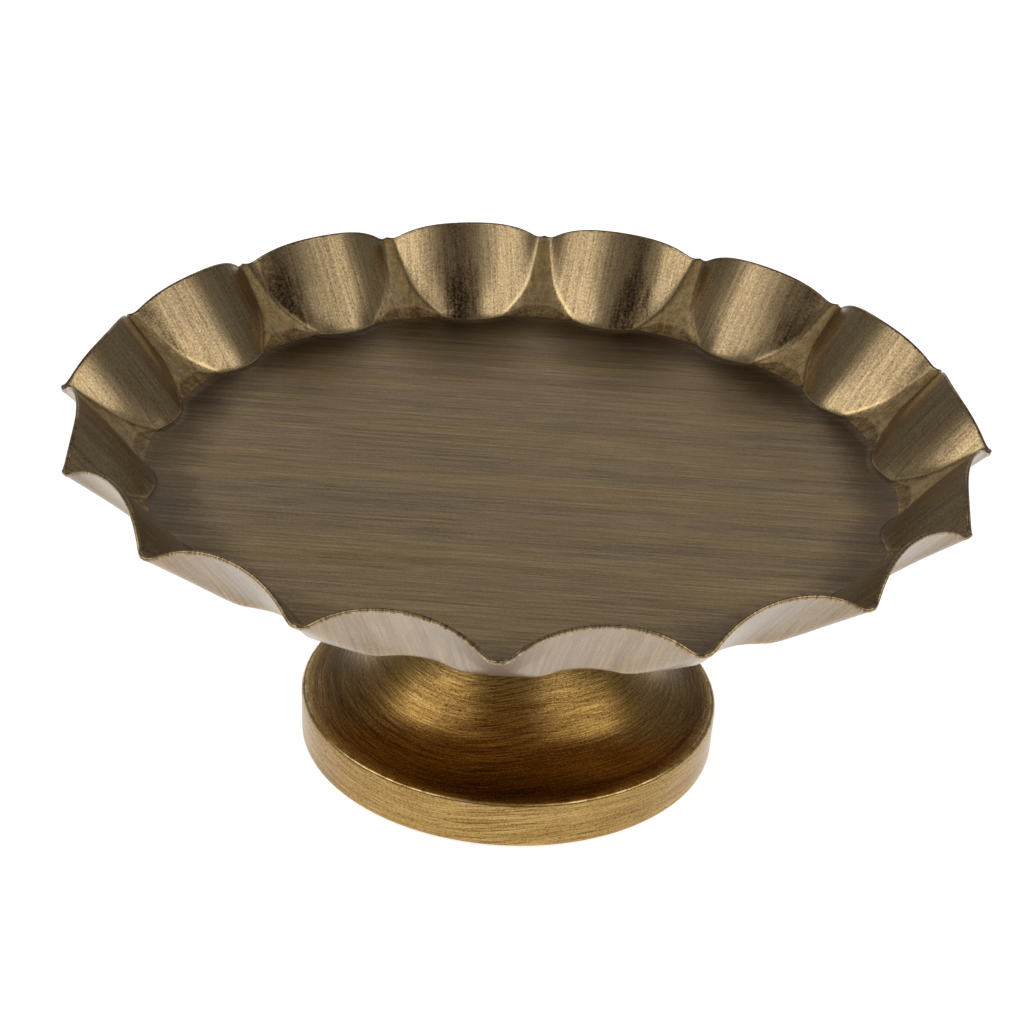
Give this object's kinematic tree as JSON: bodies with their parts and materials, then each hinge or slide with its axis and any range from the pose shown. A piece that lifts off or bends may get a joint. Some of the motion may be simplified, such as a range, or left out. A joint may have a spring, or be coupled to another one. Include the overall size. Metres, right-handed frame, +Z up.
{
  "type": "cake stand",
  "caption": "Round metal cake stand: a shallow dish with a fluted, scalloped rim, bolted to a hollow trumpet-shaped pedestal foot.",
  "frame": {"origin": "centre of the footprint, on the table", "axes": "+Z up along the stand's axis; a point of the scalloped rim lies on each of the X and Y axes"},
  "size_m": [0.3018, 0.3018, 0.1285],
  "materials": {
    "antique_brass": "dark bronze ground with dry-brushed antique gold, satin",
    "zinc_steel": "bright zinc plate",
    "gasket_rubber": "matt black rubber",
    "felt": "pressed charcoal felt"
  },
  "bodies": {
    "root": {"plate": "antique_brass", "backing_disc": "antique_brass", "weld_stud": "zinc_steel", "seat_gasket": "gasket_rubber", "pedestal": "antique_brass", "clamp_washer": "zinc_steel", "spring_washer": "zinc_steel", "hex_nut": "zinc_steel", "felt_ring": "felt"}
  },
  "joints": []
}
